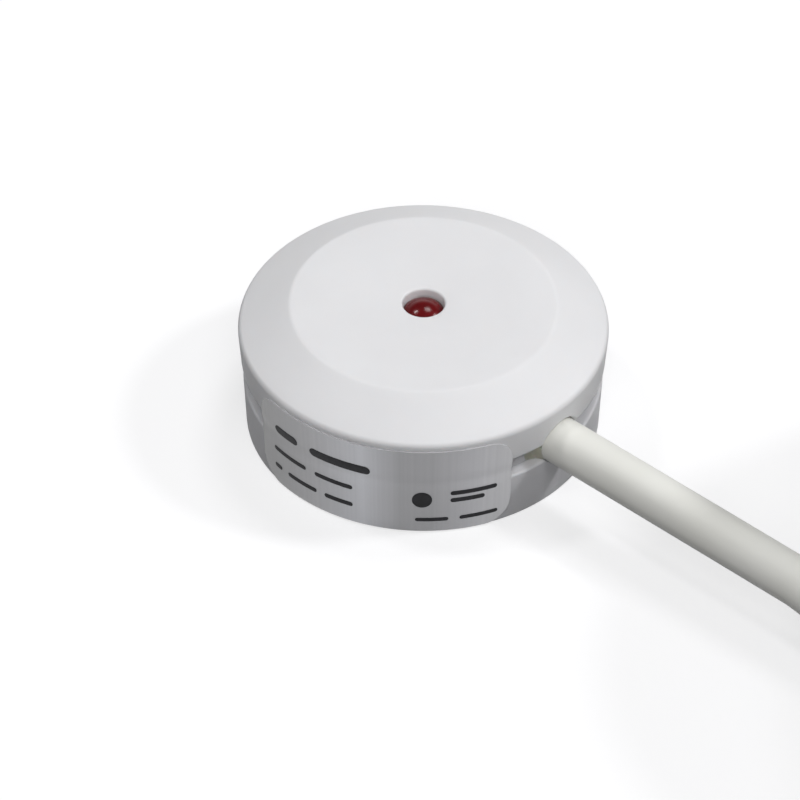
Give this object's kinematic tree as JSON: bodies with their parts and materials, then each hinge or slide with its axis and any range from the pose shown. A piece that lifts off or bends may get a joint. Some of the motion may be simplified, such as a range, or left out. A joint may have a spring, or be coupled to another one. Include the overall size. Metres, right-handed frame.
{
  "type": "glass break sensor",
  "caption": "Low round white sensor housing with a chamfered top, central red indicator lamp, side label and a coiled four-core lead that leaves its side.",
  "frame": {"origin": "centre of the housing's flat underside, the face that is bonded to the pane", "axes": "+Z from the underside to the lamp, +X along the lead where it leaves the housing"},
  "size_m": [0.0983, 0.06, 0.0211],
  "materials": {
    "cover_plastic": "moulded white ABS, fine satin grain",
    "base_plastic": "moulded white ABS, fine satin grain",
    "label_foil": "satin silver polyester foil with dark print",
    "board_laminate": "green solder mask",
    "lamp_epoxy": "dark red transparent epoxy, polished",
    "tinned_wire": "tinned copper",
    "solder": "solder, slightly dull",
    "chip_plastic": "black moulding compound",
    "tantalum_case": "yellow moulding compound",
    "resistor_film": "dark glazed ceramic",
    "capacitor_ceramic": "tan ceramic",
    "clear_resin": "clear yellowish resin",
    "piezo_brass": "rolled brass",
    "piezo_ceramic": "silvered piezo ceramic",
    "black_insulation": "PVC wire insulation",
    "red_insulation": "PVC wire insulation",
    "nylon": "natural nylon",
    "white_insulation": "PVC wire insulation",
    "brown_insulation": "PVC wire insulation",
    "green_insulation": "PVC wire insulation",
    "yellow_insulation": "PVC wire insulation",
    "lead_sheath": "off-white PVC sheath, satin"
  },
  "bodies": {
    "root": {"top_cover": "cover_plastic", "base_tray": "base_plastic", "side_label": "label_foil", "circuit_board": "board_laminate", "led_lens": "lamp_epoxy", "led_legs": "tinned_wire", "solder_joints": "solder", "signal_chip": "chip_plastic", "signal_chip_feet": "tinned_wire", "relay_chip": "chip_plastic", "relay_chip_feet": "tinned_wire", "tantalum_capacitor": "tantalum_case", "surge_diode": "chip_plastic", "chip_resistors": "resistor_film", "chip_capacitors": "capacitor_ceramic", "piezo_glue": "clear_resin", "piezo_brass": "piezo_brass", "piezo_ceramic": "piezo_ceramic", "piezo_wire_black": "black_insulation", "piezo_wire_red": "red_insulation", "sealing_resin": "clear_resin", "cable_tie": "nylon", "core_white": "white_insulation", "core_brown": "brown_insulation", "core_green": "green_insulation", "core_yellow": "yellow_insulation", "core_strands": "tinned_wire", "cable_lead": "lead_sheath", "cable_coil": "lead_sheath", "cable_tail": "lead_sheath", "tail_core_white": "white_insulation", "tail_core_brown": "brown_insulation", "tail_core_green": "green_insulation", "tail_core_yellow": "yellow_insulation", "tail_strands": "tinned_wire"}
  },
  "joints": []
}
